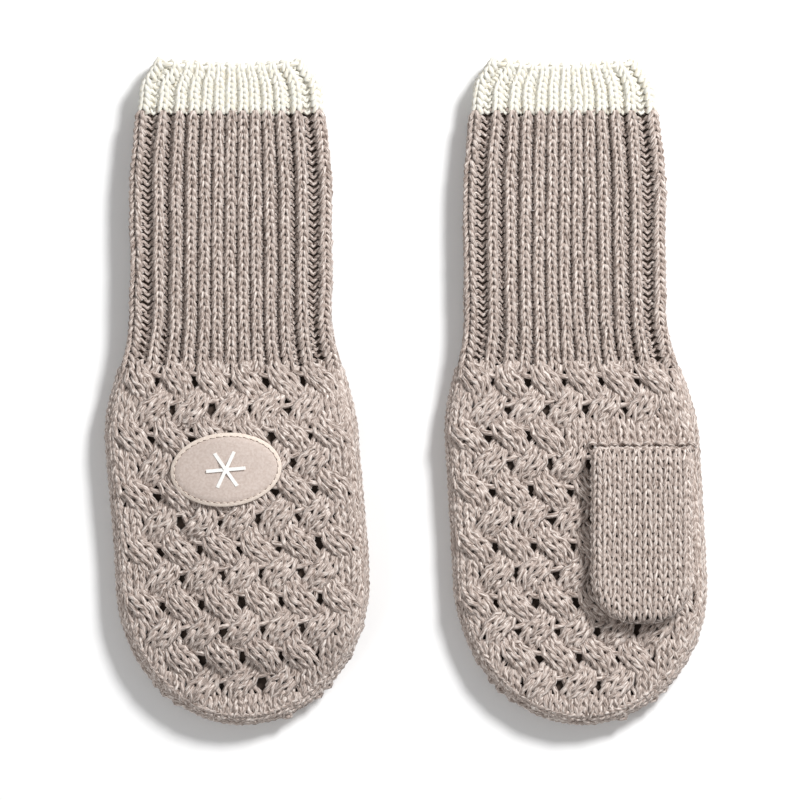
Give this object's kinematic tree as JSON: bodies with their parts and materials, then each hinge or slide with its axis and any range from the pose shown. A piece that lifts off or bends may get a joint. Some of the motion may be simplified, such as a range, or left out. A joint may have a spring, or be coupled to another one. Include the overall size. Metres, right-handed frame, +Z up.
{
  "type": "knitted mittens",
  "caption": "Pair of small knitted mittens lying flat, with long ribbed cuffs, pale cuff edges, cabled hands, thumb pouches and an oval sewn patch.",
  "frame": {"origin": "on the surface the pair lies on, under the middle of the pair", "axes": "+Z up from the surface, +Y along the mittens towards their openings, +X across the pair to the left-hand mitten"},
  "size_m": [0.1926, 0.2122, 0.0228],
  "materials": {
    "taupe_knit": "matt heather wool yarn",
    "seam_knit": "matt heather wool yarn",
    "cream_knit": "matt undyed wool yarn",
    "patch_fabric": "fine matt woven cotton",
    "patch_thread": "sewing thread",
    "patch_print": "matt screen print"
  },
  "bodies": {
    "right_hand": {"right_hand_back": "taupe_knit", "right_hand_palm": "taupe_knit", "right_edge_seam": "seam_knit", "right_thumb_pickup_row": "seam_knit", "right_patch": "patch_fabric", "right_patch_stitching": "patch_thread", "right_patch_mark": "patch_print"},
    "right_cuff": {"right_rib_cuff": "taupe_knit", "right_cast_on_band": "cream_knit"},
    "right_thumb_pouch": {"right_thumb": "taupe_knit"},
    "left_hand": {"left_hand_back": "taupe_knit", "left_hand_palm": "taupe_knit", "left_edge_seam": "seam_knit", "left_thumb_pickup_row": "seam_knit", "left_patch": "patch_fabric", "left_patch_stitching": "patch_thread", "left_patch_mark": "patch_print"},
    "left_cuff": {"left_rib_cuff": "taupe_knit", "left_cast_on_band": "cream_knit"},
    "left_thumb_pouch": {"left_thumb": "taupe_knit"}
  },
  "joints": [
    {"name": "left_mitten_lift", "type": "slide", "parent": "right_hand", "child": "left_hand", "axis": [0, 0, 1], "range_m": [0, 0.06]},
    {"name": "right_cuff_fold", "type": "hinge", "parent": "right_hand", "child": "right_cuff", "pos_m": [-0.0559, 0.00789, 0.013], "axis": [1, 0, 0], "range_deg": [0, 90]},
    {"name": "left_cuff_fold", "type": "hinge", "parent": "left_hand", "child": "left_cuff", "pos_m": [0.0517, 0.00789, 0.013], "axis": [1, 0, 0], "range_deg": [0, 90]},
    {"name": "right_thumb_lift", "type": "hinge", "parent": "right_hand", "child": "right_thumb_pouch", "pos_m": [-0.0334, -0.02211, 0.0042], "axis": [1, 0, 0], "range_deg": [0, 90]},
    {"name": "left_thumb_lift", "type": "hinge", "parent": "left_hand", "child": "left_thumb_pouch", "pos_m": [0.07497, -0.02211, 0.0175], "axis": [-1, 0, 0], "range_deg": [0, 90]}
  ]
}
